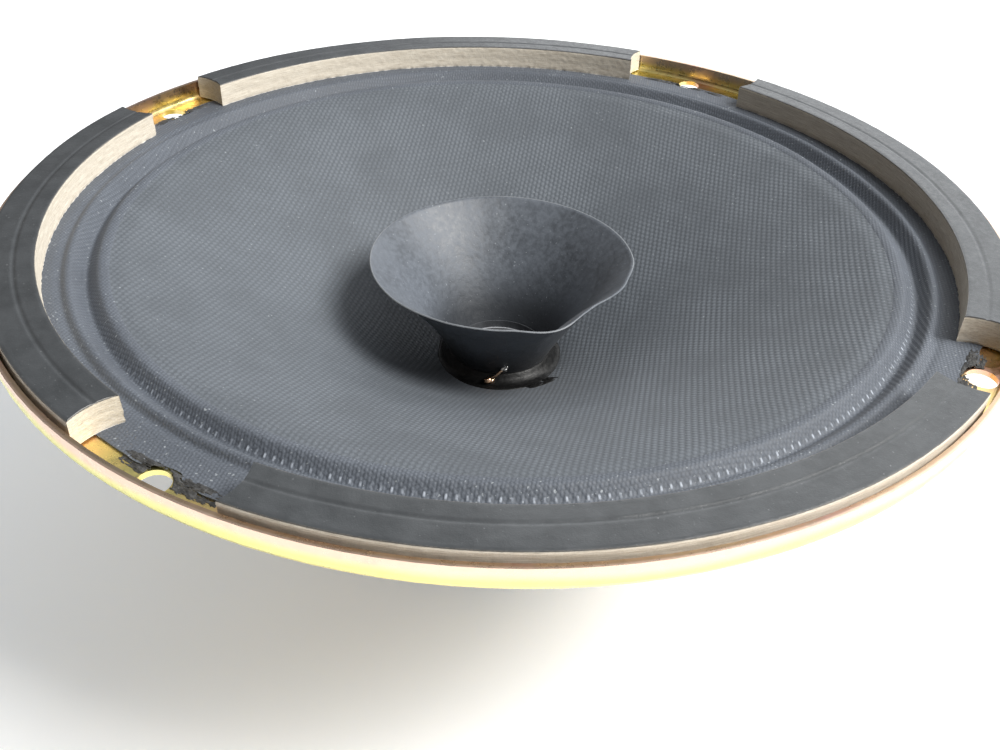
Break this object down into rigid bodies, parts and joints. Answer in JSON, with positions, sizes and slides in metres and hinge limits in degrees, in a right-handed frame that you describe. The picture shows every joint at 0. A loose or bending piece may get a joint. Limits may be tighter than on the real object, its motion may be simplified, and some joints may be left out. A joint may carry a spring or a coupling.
{
  "type": "dual-cone car loudspeaker driver",
  "caption": "Round full-range car loudspeaker with a whizzer on a textured paper cone, corrugated cloth edge, pressed zinc basket and ferrite motor.",
  "frame": {"origin": "centre of the mounting hole circle, in the rear face of the flange", "axes": "+Z along the speaker's axis towards the listener; the terminals are on the -Y side"},
  "size_m": [0.203, 0.203, 0.0799],
  "materials": {
    "zinc_sheet": "pressed sheet with yellow iridescent zinc plating",
    "rivet_steel": "bright zinc rivets",
    "plate_steel": "turned steel with yellow zinc plating",
    "pole_steel": "turned steel",
    "ferrite": "ground and moulded strontium ferrite",
    "phenolic_board": "brown phenolic paper laminate",
    "lug_brass": "stamped brass",
    "lug_tin": "tinned brass",
    "chipboard": "layered chipboard, charcoal face and tan cut sides",
    "edge_cloth": "doped corrugated cloth",
    "spider_cloth": "resin-treated cotton cloth",
    "cone_paper": "screen-embossed felted paper",
    "whizzer_paper": "thin calendered paper, satin",
    "cap_felt": "black felt",
    "former_paper": "brown kraft former",
    "collar_paper": "kraft paper tape",
    "copper_wire": null,
    "black_glue": "glossy black contact glue",
    "solder": "tin solder with flux",
    "tinsel_braid": "braided copper tinsel over a textile core"
  },
  "bodies": {
    "frame": {"basket": "zinc_sheet", "frame_rivets": "rivet_steel", "top_plate": "plate_steel", "magnet": "ferrite", "back_plate": "plate_steel", "pole_piece": "pole_steel", "terminal_board": "phenolic_board", "terminal_rivets": "rivet_steel", "terminal_lug_positive": "lug_brass", "terminal_lug_negative": "lug_tin", "lug_rivets": "rivet_steel", "gasket_back": "chipboard", "gasket_left": "chipboard", "gasket_front": "chipboard", "gasket_right": "chipboard", "edge_surround": "edge_cloth", "spider": "spider_cloth", "lead_wire_positive": "tinsel_braid", "lead_wire_negative": "tinsel_braid"},
    "moving_cone": {"main_cone": "cone_paper", "whizzer_cone": "whizzer_paper", "dust_cap": "cap_felt", "coil_former": "former_paper", "coil_winding": "copper_wire", "coil_collar": "collar_paper", "neck_glue": "black_glue", "cone_glue_patches": "black_glue", "cone_solder_joints": "solder", "coil_lead_outs": "copper_wire"}
  },
  "joints": [
    {"name": "cone_travel", "type": "slide", "parent": "frame", "child": "moving_cone", "axis": [0, 0, 1], "range_m": [-0.003, 0.003], "stiffness_N_per_m": 2500, "deforming": ["edge_surround", "spider", "lead_wire_positive", "lead_wire_negative"]}
  ]
}
